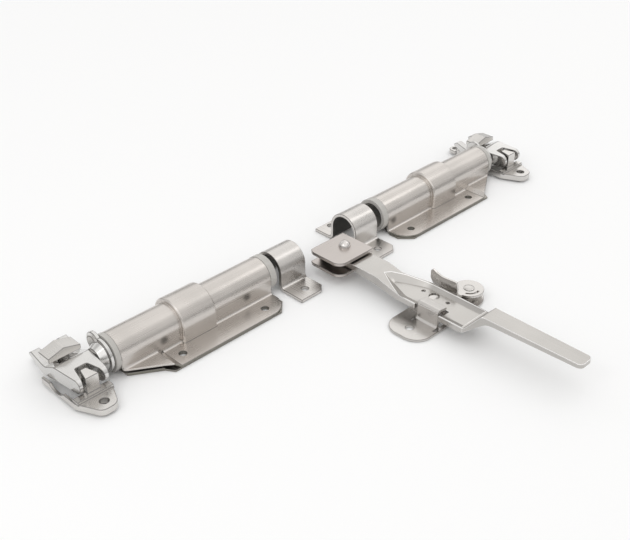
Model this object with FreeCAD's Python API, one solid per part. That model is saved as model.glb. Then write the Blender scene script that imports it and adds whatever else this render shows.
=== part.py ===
import FreeCAD, Part
import math
import os

# Door-gear set for one locking bar: two cams with their keepers, two long bearing
# brackets, two saddle guides, a handle in its hub and the catch that holds the handle.
# The bar axis runs along X, the handle points to -Y, and the door face is z = 0.
# The origin lies on the door face, below the bar axis, midway between the two brackets.
# All sizes are millimetres.

# The bar that the whole set is made for
bar_radius = 17.0
bar_wall = 3.0
bar_height = 22.0
running_fit = 0.06
loose_gap = 0.5

# Screw holes
hole_radius = 4.5
keeper_hole_radius = 5.0

# Saddle guides
left_saddle_x = -66.7
right_saddle_x = 61.3
saddle_length = 40.0
saddle_sheet = 4.0
saddle_front_y = -56.5
saddle_back_y = 49.5
saddle_chamfer = 8.0
saddle_hole_y = 41.0
saddle_bend = 4.0

# Long bearing brackets
cover_start_x = 102.5
cover_length = 212.0
cover_sheet = 2.5
cover_radius = 21.5
cover_half_width = 54.3
cover_bend = 3.0
cover_hole_x1 = 128.5
cover_hole_spacing = 120.0
cover_hole_y = 38.4
cover_corner_round = 26.0
cover_nose_length = 51.0
cover_nose_root_length = 37.5
cover_nose_root_width = 89.0
cover_nose_tip_width = 47.0
cover_nose_end_width = 42.6
cover_nose_tip_length = 3.5
bulge_radius = 26.5
bulge_start_x = 189.0
bulge_length = 47.0
bulge_chamfer = 1.6
joggle_x = 262.5
joggle_length = 6.5
joggle_lift = 4.0

# Base plate below each long bracket
backing_sheet = 2.0
backing_reach = 0.7
backing_chamfer = 15.0
backing_notch_depth = 7.0
backing_notch_width = 54.0
backing_notch_root_width = 20.0
backing_window_width = 24.0
backing_nose_length = 43.5
nose_pad_thickness = 1.5

# Bushes at both ends of each long bracket
bush_flange_radius = 22.0
bush_wall_fit = 0.05
outer_bush_depth = 24.0
outer_bush_flange = 6.0
inner_bush_depth = 20.0
inner_bush_flange = 9.0
bush_floor_gap = 0.5

# Collar that carries the end thrust inside the bulge
collar_radius = 21.0
thrust_gap = 0.4

# Cam with its shank. The cam is drawn for the right end; the left one is its mirror image.
shank_inner_end_x = 152.0
cam_gap = 0.6
cam_collar_length = 4.5
cam_collar_radius = 19.5
cam_lobe_radius = 12.0
cam_lobe_tip_radius = 8.0
cam_lobe_length = 1.8
cam_lobe_y = 12.0
cam_lobe_rise = 11.0
cam_neck_length = 7.5
cam_neck_root_radius = 17.0
cam_neck_tip_radius = 12.0
cam_width = 44.0
cam_thickness = 16.4
cam_front_y = -32.5
cam_flat_back_y = 8.0
cam_back_y = 57.0
cam_tip_rise = 5.5
cam_tip_thickness = 9.0
cam_waist_y = 27.0
cam_waist_drop = 1.5
cam_waist_thickness = 12.0
notch_root_y = -9.0
notch_root_near = 15.2
notch_root_far = 29.8
notch_mouth_near = 9.6
notch_mouth_far = 35.8
horn_taper_near = 4.8
horn_taper_far = 4.0
back_notch_y = 13.0
back_notch_near = 10.5
back_notch_far = 33.0

# Keeper that the cam closes on. Both keepers are the same part, with the cheek on the -X side.
frame_face = 2.0
left_keeper_offset = 43.5
right_keeper_offset = 37.5
keeper_near = 24.2
keeper_far = 21.5
keeper_thickness = 8.0
keeper_front_y = -62.5
keeper_waist_y = -34.0
keeper_end_round = 12.0
keeper_nose_near = 10.5
keeper_nose_far = 9.0
keeper_hole_y = -50.0
keeper_cheek = 3.4
keeper_cheek_back_y = 27.0
keeper_spine_width = 14.0
keeper_step_rise = 3.0
keeper_step_length = 9.0
keeper_pad_thickness = 5.0
keeper_pad_half_width = 9.0
keeper_pad_length = 15.0
keeper_pad_hole = 4.0
keeper_sweep_gap = 1.5
front_lug_height = 30.0
front_lug_root_width = 16.0
front_lug_tip_width = 7.0
front_lug_front_y = -33.0
front_lug_back_y = -17.0
back_lug_front_y = 18.5
back_lug_back_y = 33.0
back_lug_width = 14.0
head_bottom = 29.0
head_edge = 5.5
head_rise = 5.5
head_length = 39.0
head_front_y = 14.5
head_back_y = 33.5

# Handle hub
hub_plate = 4.0
hub_gap = 11.0
hub_left_x = -34.0
hub_right_x = 25.0
hub_front_y = -66.0
hub_back_y = -13.0
hub_left_round = 12.0
hub_back_round = 10.0
hub_right_round = 3.0
hub_web = 5.0
hub_bar_gap = 0.4
pivot_x = 3.0
pivot_y = -38.5
pivot_radius = 6.0
pivot_fit = 0.05
rivet_head_radius = 8.5
rivet_head_height = 5.0
rivet_tail_radius = 7.5
rivet_tail_height = 2.0
boss_radius = 12.0
boss_height = 1.5

# Handle
handle_end_radius = 17.5
handle_neck_y = -104.0
dish_wide_y = -156.0
dish_end_y = -238.0
dish_half_width = 24.0
dish_depth = 4.2
dish_sheet = 2.8
dish_apex_y = -105.5
dish_apex_drift = 3.0
dish_ramp_length = 15.5
dish_end_wall = 3.0
dish_left_slope = 2.14
dish_left_rim = 1.5
dish_right_slope = 1.0
dish_right_rim = 2.7
grip_neck_length = 15.0
grip_length = 123.0
grip_half_width = 12.5
grip_end_half_width = 10.5
grip_thickness = 7.0
grip_end_thickness = 5.5
grip_rise = 17.5
grip_corner = 6.0
lift_hole_radius = 6.5
lift_hole_y = -172.0
small_hole_radius = 2.6
small_hole_y1 = -156.0
small_hole_y2 = -191.3
dish_holes_x = 11.6

# Catch that holds the handle down
catch_sheet = 3.0
catch_left_x = -57.0
catch_right_x = 78.0
catch_front_y = -206.5
catch_back_y = -152.5
catch_left_round = 21.0
catch_right_round = 26.0
catch_hole_x = -39.0
catch_hole_y = -178.7
catch_pivot_x = 60.5
catch_pivot_y = -184.3
hook_width = 30.0
hook_middle_y = -186.5
hook_outer_x = -18.0
hook_height = 26.0
hook_reach = 14.5
hook_drop = 2.5
hook_bend = 4.0
notch_gap = 2.0
tongue_gap = 2.5
hook_relief = 2.5
post_radius = 9.0
lever_bottom = 9.0
lever_sheet = 3.0
lever_radius = 17.5
lever_gap = 0.3
lever_slot_radius = 12.0
lever_slot_width = 2.2
lever_slot_start = 200.0
lever_slot_angle = 85.0
wing_gap = 5.0
wing_bend = 8.0
wing_tip = 36.4
wing_top = 32.0
wing_tip_y = -151.5
wing_start_y = -188.0
pin_radius = 4.0
pin_head_radius = 6.5
pin_head_height = 1.8

# Tools that cut the handle reach past it on all sides
tool_left = -60.0
tool_width = 160.0
tool_bottom = -20.0
tool_height = 90.0

# Places that follow from the sizes above
grip_start_y = dish_end_y - grip_neck_length
grip_end_y = grip_start_y - grip_length
cover_end_x = cover_start_x + cover_length
hub_middle = bar_height
hub_top = hub_middle + hub_gap / 2 + hub_plate
hub_bottom = hub_middle - hub_gap / 2 - hub_plate
handle_bottom = hub_middle - hub_gap / 2 + boss_height
handle_top = hub_middle + hub_gap / 2 - boss_height
cam_start_x = cover_end_x + outer_bush_flange + cam_gap
cam_face_x = cam_start_x + cam_collar_length + cam_neck_length
left_keeper_x = -(cover_end_x + left_keeper_offset)
right_keeper_x = cover_end_x + right_keeper_offset
bush_floor = backing_sheet + bush_floor_gap
keeper_top = frame_face + keeper_thickness
dish_rim = hub_middle
dish_floor = dish_rim - dish_depth
dish_bottom = dish_floor - dish_sheet
grip_top = dish_rim + grip_rise


def vec(x, y, z):
    return FreeCAD.Vector(x, y, z)


def in_xy(z):
    return lambda a, b: vec(a, b, z)


def in_yz(x):
    return lambda a, b: vec(x, a, b)


def in_xz(y):
    return lambda a, b: vec(a, y, b)


def rounded_face(corners, place):
    """Closed face from corners (a, b, radius), with an arc at each corner that has a radius."""
    count = len(corners)
    joints = []
    for index in range(count):
        a, b, radius = corners[index]
        before = corners[index - 1]
        after = corners[(index + 1) % count]
        into = vec(before[0] - a, before[1] - b, 0).normalize()
        out = vec(after[0] - a, after[1] - b, 0).normalize()
        if radius <= 0:
            joints.append((vec(a, b, 0), None, vec(a, b, 0)))
            continue
        half = into.getAngle(out) / 2
        reach = radius / math.tan(half)
        centre = (into + out).normalize() * (radius / math.sin(half)) + vec(a, b, 0)
        middle = centre + (vec(a, b, 0) - centre).normalize() * radius
        joints.append((vec(a, b, 0) + into * reach, middle, vec(a, b, 0) + out * reach))
    edges = []
    for index in range(count):
        first, middle, last = joints[index]
        if middle is not None:
            arc = Part.Arc(place(first.x, first.y), place(middle.x, middle.y), place(last.x, last.y))
            edges.append(arc.toShape())
        start = place(last.x, last.y)
        following = joints[(index + 1) % count][0]
        end = place(following.x, following.y)
        if start.distanceToPoint(end) > 1e-6:
            edges.append(Part.LineSegment(start, end).toShape())
    return Part.Face(Part.Wire(edges))


def plate(corners, bottom, thickness):
    return rounded_face(corners, in_xy(bottom)).extrude(vec(0, 0, thickness))


def along_x(corners, start, length):
    return rounded_face(corners, in_yz(start)).extrude(vec(length, 0, 0))


def box(x0, x1, y0, y1, z0, z1):
    return Part.makeBox(x1 - x0, y1 - y0, z1 - z0, vec(x0, y0, z0))


def rod_x(start, length, radius):
    return Part.makeCylinder(radius, length, vec(start, 0, bar_height), vec(1, 0, 0))


def rod_z(x, y, bottom, height, radius):
    return Part.makeCylinder(radius, height, vec(x, y, bottom), vec(0, 0, 1))


def drilled(shape, places, radius, bottom, height):
    for x, y in places:
        shape = shape.cut(rod_z(x, y, bottom, height, radius))
    return shape


def to_left(shape):
    return shape.mirror(vec(0, 0, 0), vec(1, 0, 0))


def clean(shape):
    """The single solid of a shape, with faces that continue each other joined."""
    joined = shape.removeSplitter()
    return joined.Solids[0] if len(joined.Solids) == 1 else joined


def hat_corners(inner_radius, sheet, foot, front, back, bend):
    """Section of a bent sheet that arches over the bar and stands on two feet."""
    outer_radius = inner_radius + sheet
    low = foot
    high = foot + sheet
    return [
        (front, low, 0),
        (-inner_radius, low, bend + sheet),
        (-inner_radius, bar_height + inner_radius, inner_radius),
        (inner_radius, bar_height + inner_radius, inner_radius),
        (inner_radius, low, bend + sheet),
        (back, low, 0),
        (back, high, 0),
        (outer_radius, high, bend),
        (outer_radius, bar_height + outer_radius, outer_radius),
        (-outer_radius, bar_height + outer_radius, outer_radius),
        (-outer_radius, high, bend),
        (front, high, 0),
    ]


def tunnel(start, length, radius, foot):
    """Solid arch over the bar: a half round on straight legs."""
    corners = [
        (-radius, foot, 0),
        (radius, foot, 0),
        (radius, bar_height + radius, radius),
        (-radius, bar_height + radius, radius),
    ]
    return along_x(corners, start, length)


def saddle(centre_x):
    """Guide of bent sheet, with a longer front foot. The chamfered corners are on the +X side."""
    start = centre_x - saddle_length / 2
    end = centre_x + saddle_length / 2
    inner = bar_radius + loose_gap
    section = hat_corners(inner, saddle_sheet, 0, saddle_front_y, saddle_back_y, saddle_bend)
    body = along_x(section, start, saddle_length)
    cut = saddle_chamfer
    outline = plate([
        (start, saddle_front_y, 0),
        (end - cut, saddle_front_y, 0),
        (end, saddle_front_y + cut, 0),
        (end, saddle_back_y - cut, 0),
        (end - cut, saddle_back_y, 0),
        (start, saddle_back_y, 0),
    ], -1, bar_height * 4)
    places = [(centre_x, -saddle_hole_y), (centre_x, saddle_hole_y)]
    return clean(drilled(body.common(outline), places, hole_radius, -1, saddle_sheet + 2))


def nose_corners(side_sign, nose_length):
    """Corners of a long bracket's plan along one side of its nose, from its root to its end."""
    return [
        (cover_end_x - nose_length, side_sign * cover_half_width, 0),
        (cover_end_x - cover_nose_root_length, side_sign * cover_nose_root_width / 2, 0),
        (cover_end_x - cover_nose_tip_length, side_sign * cover_nose_tip_width / 2, 0),
    ]


def cover_outline():
    """Plan of the long bracket: round at the inner end, with a tapered nose at the outer end."""
    side = cover_half_width
    end_width = cover_nose_end_width / 2
    first = [(cover_start_x, -side, cover_corner_round)]
    end = [(cover_end_x, -end_width, 0), (cover_end_x, end_width, 0)]
    last = [(cover_start_x, side, cover_corner_round)]
    return first + nose_corners(-1, cover_nose_length) + end + nose_corners(1, cover_nose_length)[::-1] + last


def backing_outline():
    """Plan of the base plate: cut corners and a notch at the inner end, and a square outer end."""
    side = cover_half_width
    start = cover_start_x - backing_reach
    cut = backing_chamfer
    notch = backing_notch_width / 2
    root = backing_notch_root_width / 2
    first = [(start, -notch, 0), (start, -side + cut, 0), (start + cut, -side, 0)]
    last = [(start + cut, side, 0), (start, side - cut, 0), (start, notch, 0)]
    bottom = [(start + backing_notch_depth, root, 0), (start + backing_notch_depth, -root, 0)]
    near = nose_corners(-1, backing_nose_length)
    far = nose_corners(1, backing_nose_length)
    return first + near + far[::-1] + last + bottom


def cover_holes():
    places = []
    for x in (cover_hole_x1, cover_hole_x1 + cover_hole_spacing):
        places += [(x, -cover_hole_y), (x, cover_hole_y)]
    return places


def nose_ramp(side_sign):
    """Short ramp that lifts the foot of the nose off the base plate on one side."""
    low = backing_sheet
    high = backing_sheet + cover_sheet
    ramp_end = joggle_x + joggle_length
    section = rounded_face([
        (joggle_x, low, 0),
        (ramp_end, low + joggle_lift, 0),
        (ramp_end, high + joggle_lift, 0),
        (joggle_x, high, 0),
    ], in_xz(side_sign * (cover_radius - cover_sheet)))
    return section.extrude(vec(0, side_sign * (cover_half_width - cover_radius + cover_sheet), 0))


def bracket_cover():
    """Bent cover over the bar, with its raised bulge, two feet and the lifted feet of the nose."""
    inner = cover_radius - cover_sheet
    side = cover_half_width
    foot = backing_sheet
    flat = hat_corners(inner, cover_sheet, foot, -side, side, cover_bend)
    raised = hat_corners(inner, cover_sheet, foot + joggle_lift, -side, side, cover_bend)
    ramp_end = joggle_x + joggle_length
    body = along_x(flat, cover_start_x, joggle_x - cover_start_x)
    arch = tunnel(joggle_x, joggle_length, cover_radius, foot)
    bulge = tunnel(bulge_start_x, bulge_length, bulge_radius, foot)
    arcs = [e for e in bulge.Edges if abs(e.Length - math.pi / 2 * bulge_radius) < 0.01]
    bulge = bulge.makeChamfer(bulge_chamfer, arcs)
    hollow = tunnel(bulge_start_x + cover_sheet, bulge_length - 2 * cover_sheet,
                    bulge_radius - cover_sheet, -1)
    bore = tunnel(cover_start_x - 1, cover_length + 2, inner, -1)
    nose = along_x(raised, ramp_end, cover_end_x - ramp_end)
    body = body.fuse([arch, nose, nose_ramp(-1), nose_ramp(1), bulge]).cut(hollow).cut(bore)
    body = body.common(plate(cover_outline(), -1, bar_height * 4))
    return clean(drilled(body, cover_holes(), hole_radius, -1, foot + cover_sheet + 2))


def backing_plate():
    """Base plate with a window that clears the collar in the bulge, and a pad under each side of the nose."""
    body = plate(backing_outline(), 0, backing_sheet)
    half = backing_window_width / 2
    body = body.cut(box(bulge_start_x, bulge_start_x + bulge_length, -half, half, -1, backing_sheet + 1))
    pads = plate(backing_outline(), backing_sheet - 1, nose_pad_thickness + 1)
    pad_start = cover_end_x - cover_nose_root_length
    for low_y, high_y in ((-cover_half_width, -cover_radius), (cover_radius, cover_half_width)):
        body = body.fuse(pads.common(box(pad_start, cover_end_x, low_y, high_y, 0, bar_height)))
    return clean(drilled(body, cover_holes(), hole_radius, -1, backing_sheet + 2))


def bush(end_x, inward, depth, flange):
    """Flanged bush in a bracket end. inward is +1 or -1, towards the middle of the bracket."""
    sleeve_radius = cover_radius - cover_sheet - bush_wall_fit
    sleeve_start = end_x if inward > 0 else end_x - depth
    flange_start = end_x - flange if inward > 0 else end_x
    body = rod_x(sleeve_start, depth, sleeve_radius)
    body = body.fuse(rod_x(flange_start, flange, bush_flange_radius))
    low = min(sleeve_start, flange_start)
    body = body.cut(rod_x(low - 1, depth + flange + 2, bar_radius + running_fit))
    body = body.common(box(low - 1, low + depth + flange + 1, -60, 60, bush_floor, 90))
    return clean(body)


def cam_shank():
    """Short tube of the bar's own size, with the collar that takes its thrust."""
    length = cam_start_x - shank_inner_end_x
    body = rod_x(shank_inner_end_x, length, bar_radius)
    start = bulge_start_x + cover_sheet + thrust_gap
    collar_length = bulge_length - 2 * (cover_sheet + thrust_gap)
    body = body.fuse(rod_x(start, collar_length, collar_radius))
    return body.cut(rod_x(shank_inner_end_x - 1, length + 1, bar_radius - bar_wall))


def cam_side_corners():
    """Side view of the cam: a flat front arm with a round end, and a back arm that dips and rises."""
    up = cam_thickness / 2
    waist = bar_height - cam_waist_drop
    tip = bar_height + cam_tip_rise
    return [
        (cam_front_y, bar_height - up, up - 0.1),
        (cam_flat_back_y, bar_height - up, 12.0),
        (cam_waist_y + 5, waist - cam_waist_thickness, 14.0),
        (cam_back_y - 9, tip - cam_tip_thickness, 6.0),
        (cam_back_y, tip - cam_tip_thickness / 2, 2.0),
        (cam_back_y - 6, tip, 3.0),
        (cam_waist_y, waist, 12.0),
        (cam_flat_back_y, bar_height + up, 8.0),
        (cam_front_y, bar_height + up, up - 0.1),
    ]


def cam_plan_corners():
    """Plan of the cam: two front horns beside the front lug, two back horns beside the post."""
    near = cam_face_x
    far = near + cam_width
    front = cam_front_y - 1
    back = cam_back_y + 1
    return [
        (near, cam_flat_back_y, 20.0),
        (near + horn_taper_near, front, 0),
        (near + notch_mouth_near, front, 0),
        (near + notch_root_near, notch_root_y, 2.5),
        (near + notch_root_far, notch_root_y, 2.5),
        (near + notch_mouth_far, front, 0),
        (far - horn_taper_far, front, 0),
        (far, cam_flat_back_y, 20.0),
        (far, back, 0),
        (near + back_notch_far, back, 0),
        (near + back_notch_far, back_notch_y, 3.0),
        (near + back_notch_near, back_notch_y, 3.0),
        (near + back_notch_near, back, 0),
        (near, back, 0),
    ]


def cam():
    """Cam casting with the shank that is welded into it."""
    body = along_x(cam_side_corners(), cam_face_x - 1, cam_width + 2)
    body = body.common(plate(cam_plan_corners(), -60, 160))
    collar = rod_x(cam_start_x, cam_collar_length, cam_collar_radius)
    lobe_place = vec(cam_start_x, cam_lobe_y, bar_height + cam_lobe_rise)
    lobe = Part.makeCylinder(cam_lobe_radius, cam_collar_length, lobe_place, vec(1, 0, 0))
    lobe_place.x += cam_collar_length
    lobe_tip = Part.makeCone(cam_lobe_radius, cam_lobe_tip_radius, cam_lobe_length, lobe_place, vec(1, 0, 0))
    neck_place = vec(cam_start_x + cam_collar_length, 0, bar_height)
    neck = Part.makeCone(cam_neck_root_radius, cam_neck_tip_radius, cam_neck_length + 1, neck_place, vec(1, 0, 0))
    return clean(body.fuse([collar, lobe, lobe_tip, neck, cam_shank()]))


def keeper(x):
    """Keeper with its front lug, its gabled back lug and the cheek on its -X side."""
    near = x - keeper_near
    far = x + keeper_far
    cam_tip_reach = math.hypot(cam_back_y, cam_tip_rise) + keeper_sweep_gap
    front_edge = front_lug_front_y + 4
    foot = plate([
        (near, front_edge, 0),
        (near, keeper_waist_y, 6.0),
        (x - keeper_nose_near, keeper_front_y, keeper_end_round - 2),
        (x + keeper_nose_far, keeper_front_y, keeper_end_round),
        (far, keeper_waist_y, 4.0),
        (far, front_edge, 0),
    ], frame_face, keeper_thickness)
    step = box(near + 1, far - 1, front_edge - keeper_step_length, front_edge,
               keeper_top - 1, keeper_top + keeper_step_rise)
    cheek = box(near, near + keeper_cheek, front_edge - 1, keeper_cheek_back_y, frame_face, keeper_top)
    half_spine = keeper_spine_width / 2
    spine = box(x - half_spine, x + half_spine, front_edge - 1, cam_tip_reach + 1, frame_face, keeper_top)
    web_reach = math.hypot(back_notch_y, cam_thickness / 2) + keeper_sweep_gap
    spine = spine.cut(rod_x(x - half_spine - 1, keeper_spine_width + 2, web_reach))
    neck_reach = cam_neck_root_radius + loose_gap
    cheek = cheek.cut(rod_x(near - 1, keeper_cheek + 2, neck_reach))
    side = keeper_pad_half_width
    pad = plate([
        (x - side, cam_tip_reach, 2.0),
        (x + side, cam_tip_reach, 2.0),
        (x + side, cam_tip_reach + keeper_pad_length, side - 1),
        (x - side, cam_tip_reach + keeper_pad_length, side - 1),
    ], frame_face, keeper_pad_thickness)
    body = foot.fuse([step, cheek, spine, pad, front_lug(x), back_lug(x)])
    body = drilled(body, [(x, keeper_hole_y)], keeper_hole_radius, 0, keeper_top + 1)
    pad_hole_y = cam_tip_reach + keeper_pad_length / 2
    return clean(drilled(body, [(x, pad_hole_y)], keeper_pad_hole, 0, keeper_top + 1))


def front_lug(x):
    tip = front_lug_tip_width / 2
    root = front_lug_root_width / 2
    return plate([
        (x - root, front_lug_front_y, 0),
        (x + root, front_lug_front_y, 0),
        (x + tip, front_lug_back_y, 0),
        (x - tip, front_lug_back_y, 0),
    ], frame_face, front_lug_height)


def back_lug(x):
    """Post with a gabled head that stands over the back horns of the cam."""
    half = back_lug_width / 2
    low = frame_face + head_bottom
    post = box(x - half, x + half, back_lug_front_y, back_lug_back_y, frame_face, low + 1)
    side = head_length / 2
    eaves = low + head_edge
    head = rounded_face([
        (x - side, low, 0),
        (x + side, low, 0),
        (x + side, eaves, 0),
        (x, eaves + head_rise, 1.5),
        (x - side, eaves, 0),
    ], in_xz(head_front_y)).extrude(vec(0, head_back_y - head_front_y, 0))
    return post.fuse(head)


def hub_outline():
    return [
        (hub_left_x, hub_front_y, hub_left_round),
        (hub_right_x, hub_front_y, hub_right_round),
        (hub_right_x, hub_back_y, 0),
        (hub_left_x, hub_back_y, hub_back_round),
    ]


def hub_plate_at(bottom, boss_bottom):
    """Plate of the hub, with the boss that its side of the handle turns on."""
    body = plate(hub_outline(), bottom, hub_plate)
    body = body.cut(rod_x(hub_left_x - 1, hub_right_x - hub_left_x + 2, bar_radius + hub_bar_gap))
    body = body.fuse(rod_z(pivot_x, pivot_y, boss_bottom, boss_height, boss_radius))
    return clean(drilled(body, [(pivot_x, pivot_y)], pivot_radius + pivot_fit, bottom - 5, hub_plate + 10))


def hub_web_piece():
    """Wall between the two plates, along the bar side and the left side."""
    bottom = hub_middle - hub_gap / 2
    body = plate(hub_outline(), bottom, hub_gap)
    inner = hub_left_round - hub_web
    room = plate([
        (hub_left_x + hub_web, hub_front_y - 20, 0),
        (hub_right_x + 10, hub_front_y - 20, 0),
        (hub_right_x + 10, pivot_y + handle_end_radius + 1.0, 0),
        (hub_left_x + hub_web, pivot_y + handle_end_radius + 1.0, inner),
    ], bottom - 1, hub_gap + 2)
    body = body.cut(room)
    body = body.cut(box(hub_left_x - 1, hub_right_x, hub_front_y - 1, hub_front_y + hub_left_round, 0, 60))
    return clean(body.cut(rod_x(hub_left_x - 1, hub_right_x - hub_left_x + 2, bar_radius + hub_bar_gap)))


def domed_head(x, y, base, radius, height, steps):
    """Round head of a rivet, turned as a few cones that follow a ball."""
    ball = (radius * radius + height * height) / (2 * height)
    top_angle = math.asin(radius / ball)
    corners = [vec(x, y, base)]
    for index in range(steps + 1):
        angle = top_angle * (1 - index / (steps + 0.6))
        corners.append(vec(x + ball * math.sin(angle), y, base + height - ball + ball * math.cos(angle)))
    corners.append(vec(x, y, corners[-1].z))
    corners.append(corners[0])
    return Part.Face(Part.makePolygon(corners)).revolve(vec(x, y, base), vec(0, 0, 1), 360)


def hub_rivet():
    length = hub_top - hub_bottom
    body = rod_z(pivot_x, pivot_y, hub_bottom, length, pivot_radius)
    body = body.fuse(domed_head(pivot_x, pivot_y, hub_top, rivet_head_radius, rivet_head_height, 2))
    tail = rod_z(pivot_x, pivot_y, hub_bottom - rivet_tail_height, rivet_tail_height, rivet_tail_radius)
    return clean(body.fuse(tail))


def handle():
    body = handle_side().common(plate(handle_plan_corners(), tool_bottom, tool_height))
    body = body.cut(dish_pocket())
    body = body.cut(rod_z(pivot_x, pivot_y, tool_bottom, tool_height, pivot_radius + pivot_fit))
    half = hook_width / 2 + notch_gap
    notch_x = hook_outer_x + hook_reach + tongue_gap
    body = body.cut(box(tool_left, notch_x, hook_middle_y - half, hook_middle_y + half, tool_bottom, tool_bottom + tool_height))
    body = body.cut(rod_z(dish_holes_x, lift_hole_y, tool_bottom, tool_height, lift_hole_radius))
    small = [(dish_holes_x, small_hole_y1), (dish_holes_x, small_hole_y2)]
    return clean(drilled(body, small, small_hole_radius, tool_bottom, tool_height))


def handle_plan_corners():
    """Plan of the handle, from the round end at the pivot to the end of the grip."""
    left_neck = pivot_x - handle_end_radius
    right_neck = pivot_x + handle_end_radius
    left_side = pivot_x - dish_half_width
    right_side = pivot_x + dish_half_width
    back = pivot_y + handle_end_radius
    return [
        (left_neck, back, handle_end_radius - 0.5),
        (left_neck, handle_neck_y, 60.0),
        (left_side, handle_neck_y - 40, 40.0),
        (left_side, dish_end_y, 5.0),
        (pivot_x - grip_half_width, grip_start_y, 16.0),
        (pivot_x - grip_end_half_width, grip_end_y, grip_corner),
        (pivot_x + grip_end_half_width, grip_end_y, grip_corner),
        (pivot_x + grip_half_width, grip_start_y, 16.0),
        (right_side - 2, dish_end_y, 8.0),
        (right_side + 0.5, dish_wide_y, 50.0),
        (right_neck - 4.5, handle_neck_y - 16, 20.0),
        (right_neck, handle_neck_y + 10, 20.0),
        (right_neck, back, handle_end_radius - 0.5),
    ]


def handle_side():
    """Side view of the handle, drawn in the YZ plane and swept across its width."""
    grip_low = grip_top - grip_thickness
    back = pivot_y + handle_end_radius + 1
    corners = [
        (back, handle_bottom, 0),
        (hub_front_y - 6, handle_bottom, 15.0),
        (handle_neck_y, dish_bottom, 15.0),
        (dish_end_y + 3, dish_bottom, 12.0),
        (grip_start_y - 8, grip_low, 20.0),
        (grip_end_y - 1, grip_top - grip_end_thickness, 0),
        (grip_end_y - 1, grip_top, 0),
        (grip_start_y, grip_top, 2.0),
        (dish_end_y, dish_rim, 3.0),
        (dish_wide_y, dish_rim, 60.0),
        (handle_neck_y, handle_top, 60.0),
        (back, handle_top, 0),
    ]
    return along_x(corners, tool_left, tool_width)


def dish_pocket():
    """Hollow of the dish: walls that lean outwards from its floor, and a ramp at its pointed end."""
    end = dish_end_y + dish_end_wall
    rise = dish_rim - dish_floor
    left_floor = pivot_x - dish_half_width + dish_left_rim + dish_left_slope * rise
    right_floor = pivot_x + dish_half_width - dish_right_rim - dish_right_slope * rise
    climb = handle_top - dish_floor
    left_top = left_floor - dish_left_slope * climb
    right_top = right_floor + dish_right_slope * climb
    apex_x = pivot_x - dish_apex_drift
    apex_y = dish_apex_y
    low_y = dish_apex_y - dish_ramp_length
    lower = [
        (apex_x, low_y, 0),
        (apex_x + 4, low_y + 0.5, 0),
        (apex_x + 11, low_y - 13, 0),
        (right_floor, dish_wide_y, 25.0),
        (right_floor, end + 1, 0),
        (left_floor, end + 1, 0),
        (left_floor, dish_wide_y + 8, 0),
    ]
    upper = [
        (apex_x, apex_y, 0),
        (apex_x + 7.5, apex_y - 4, 0),
        (apex_x + 17.5, apex_y - 19, 0),
        (right_top, dish_wide_y, 30.0),
        (right_top, end, 0),
        (left_top, end, 0),
        (left_top, dish_wide_y + 10, 0),
    ]
    low_wire = rounded_face(lower, in_xy(dish_floor)).OuterWire
    high_wire = rounded_face(upper, in_xy(handle_top)).OuterWire
    return Part.makeLoft([low_wire, high_wire], True, True)


def catch_base():
    body = plate([
        (catch_left_x, catch_front_y, catch_left_round),
        (catch_right_x, catch_front_y, catch_right_round),
        (catch_right_x, catch_back_y, catch_right_round),
        (catch_left_x, catch_back_y, catch_left_round),
    ], 0, catch_sheet)
    x = hook_outer_x
    t = catch_sheet
    foot = x - hook_bend - t
    y0 = hook_middle_y - hook_width / 2
    window = box(foot + 1, x + hook_height, y0, y0 + hook_width, -1, t + 1)
    hook = rounded_face([
        (foot, 0, 0),
        (x + t, 0, hook_bend + t),
        (x + t, hook_height - t, 2.0),
        (x + hook_reach, hook_height - t - hook_drop, 0),
        (x + hook_reach + 0.6, hook_height - hook_drop, 0.6),
        (x, hook_height, hook_bend),
        (x, t, hook_bend),
        (foot, t, 0),
    ], in_xz(y0)).extrude(vec(0, hook_width, 0))
    post = rod_z(catch_pivot_x, catch_pivot_y, t, lever_bottom - t - lever_gap, post_radius)
    relief = box(foot - 1, x, y0 - hook_relief, y0 + hook_width + hook_relief, -1, t + 1)
    body = body.cut(window).cut(relief.cut(box(foot - 2, foot + 1, y0, y0 + hook_width, -2, t + 2)))
    body = body.fuse([hook, post])
    return clean(drilled(body, [(catch_hole_x, catch_hole_y)], hole_radius, -1, t + 2))


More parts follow.
